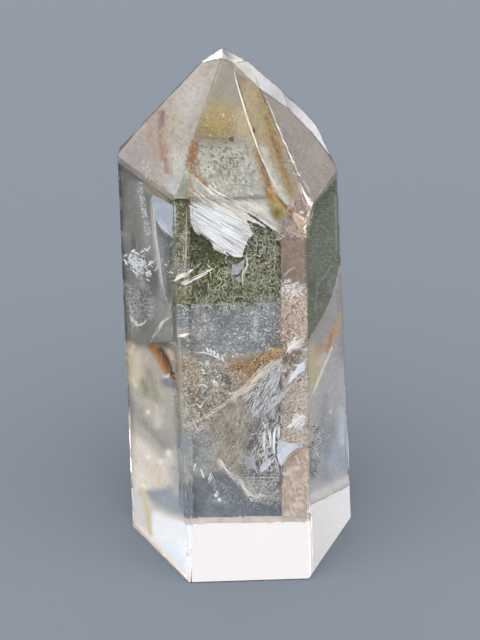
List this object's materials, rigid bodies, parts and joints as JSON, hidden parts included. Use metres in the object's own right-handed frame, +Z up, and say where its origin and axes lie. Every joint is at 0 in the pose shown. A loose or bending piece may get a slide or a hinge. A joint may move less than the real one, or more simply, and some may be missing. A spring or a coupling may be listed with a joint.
{
  "type": "smoky quartz point",
  "caption": "Polished six-sided quartz point that tapers to a faceted tip and stands upright on its flat cut base.",
  "frame": {"origin": "middle of the box around the crystal, on the level of its cut base", "axes": "+Z up along the crystal to its tip, -Y out of the broad front face, +X to the right of someone facing it"},
  "size_m": [0.0386, 0.0334, 0.0906],
  "materials": {
    "smoky_quartz": "polished"
  },
  "bodies": {
    "root": {"quartz_point": "smoky_quartz"}
  },
  "joints": []
}
